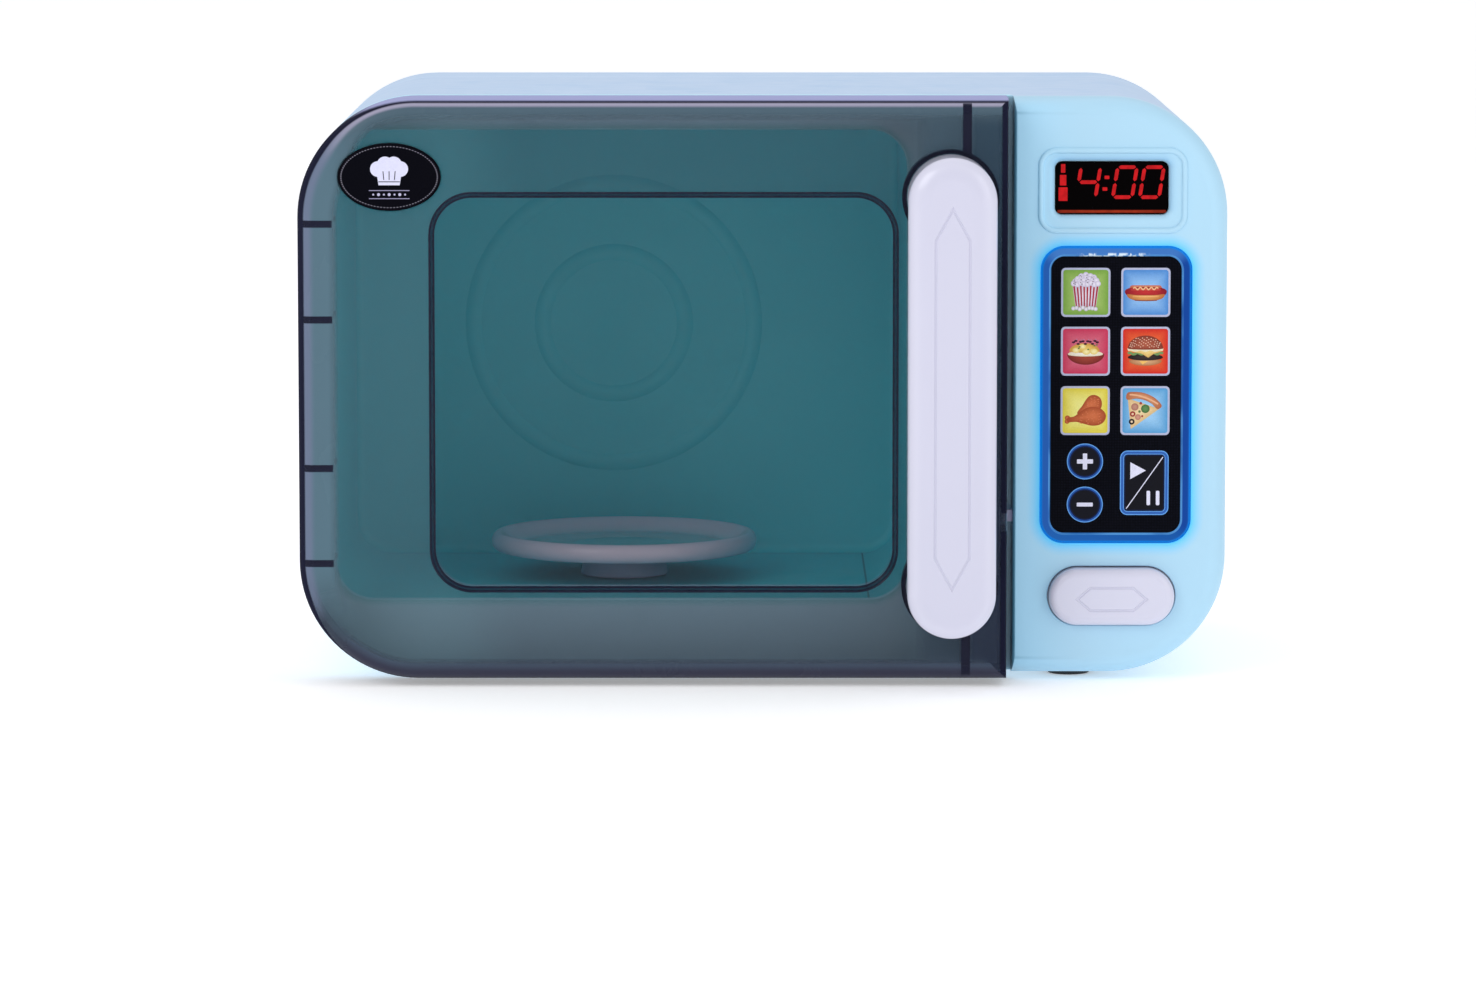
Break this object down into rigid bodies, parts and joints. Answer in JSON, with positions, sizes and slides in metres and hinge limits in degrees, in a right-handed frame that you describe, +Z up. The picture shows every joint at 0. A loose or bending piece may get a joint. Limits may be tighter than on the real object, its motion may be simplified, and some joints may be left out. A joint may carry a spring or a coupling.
{
  "type": "toy microwave",
  "caption": "Pretend-play microwave oven with a smoked hinged door, bridge handle, push-button latch, geared turntable, touch panel and battery bay.",
  "frame": {"origin": "centre of the bounding box's bottom face, on the surface that the feet stand on", "axes": "+X along the width, to the right as seen from the front; the door looks along -Y; +Z up"},
  "size_m": [0.3, 0.204, 0.19],
  "materials": {
    "casing_blue": "satin",
    "liner_teal": "satin",
    "smoked_door": "smoked, see-through",
    "white_gloss": "gloss",
    "badge_black": "gloss",
    "latch_grey": "satin",
    "lens_black": "gloss",
    "ring_blue": "frosted light guide",
    "overlay_black": "printed film",
    "board_green": "solder mask",
    "plate_milky": "gloss",
    "hub_white": "satin",
    "gear_white": "natural",
    "inner_grey": "satin",
    "steel": "plated",
    "tin": "tin plated",
    "cell_wrap": "wrapped",
    "foot_rubber": "matte"
  },
  "bodies": {
    "casing": {"front_housing": "casing_blue", "rear_cover": "casing_blue", "cavity_liner": "liner_teal", "latch_pin": "steel", "latch_spring": "steel", "display_lens": "lens_black", "display_module": "inner_grey", "light_ring": "ring_blue", "touch_overlay": "overlay_black", "touch_board": "board_green", "main_board": "board_green", "gear_box": "inner_grey", "drive_motor": "steel", "speaker": "inner_grey", "switch_body": "inner_grey", "battery_cover": "casing_blue", "battery_cover_screw": "steel", "battery_cell_1": "cell_wrap", "battery_cell_2": "cell_wrap", "battery_cell_3": "cell_wrap", "battery_contacts_lower": "tin", "battery_contacts_upper": "tin", "liner_screw_1": "steel", "liner_screw_2": "steel", "liner_screw_3": "steel", "liner_screw_4": "steel", "rear_screw_1": "steel", "rear_screw_2": "steel", "rear_screw_3": "steel", "rear_screw_4": "steel", "foot_front_left": "foot_rubber", "foot_front_right": "foot_rubber", "foot_rear_left": "foot_rubber", "foot_rear_right": "foot_rubber"},
    "door": {"door_shell": "smoked_door", "door_handle": "white_gloss", "door_badge": "badge_black", "handle_screw_lower": "steel", "handle_screw_upper": "steel", "hinge_pin_lower": "steel", "hinge_pin_upper": "steel"},
    "button": {"release_button": "white_gloss"},
    "latch": {"latch_lever": "latch_grey"},
    "turntable": {"turntable_plate": "plate_milky", "turntable_hub": "hub_white", "turntable_gear": "gear_white"},
    "pinion": {"drive_pinion": "gear_white"},
    "switch_knob": {"power_switch": "inner_grey"}
  },
  "joints": [
    {"name": "door_hinge", "type": "hinge", "parent": "casing", "child": "door", "pos_m": [-0.145, -0.0603, 0], "axis": [0, 0, -1], "range_deg": [0, 100]},
    {"name": "button_press", "type": "slide", "parent": "casing", "child": "button", "axis": [0, 1, 0], "range_m": [0, 0.004], "stiffness_N_per_m": 200, "springref_m": -0.002},
    {"name": "latch_turn", "type": "hinge", "parent": "casing", "child": "latch", "pos_m": [0.0875, -0.0389, 0], "axis": [0, 0, 1], "range_deg": [0, 16], "deforming": ["latch_spring"]},
    {"name": "turntable_spin", "type": "hinge", "parent": "casing", "child": "turntable", "pos_m": [-0.0465, 0.01, 0], "axis": [0, 0, 1], "continuous": true},
    {"name": "pinion_spin", "type": "hinge", "parent": "casing", "child": "pinion", "pos_m": [-0.019, 0.01, 0], "axis": [0, 0, 1], "continuous": true},
    {"name": "switch_slide", "type": "slide", "parent": "casing", "child": "switch_knob", "axis": [1, 0, 0], "range_m": [0, 0.004]}
  ],
  "couplings": [
    {"joint": "latch_turn", "follows": "button_press", "rad_per_m": 67.6},
    {"joint": "pinion_spin", "follows": "turntable_spin", "ratio": -2.6667}
  ]
}
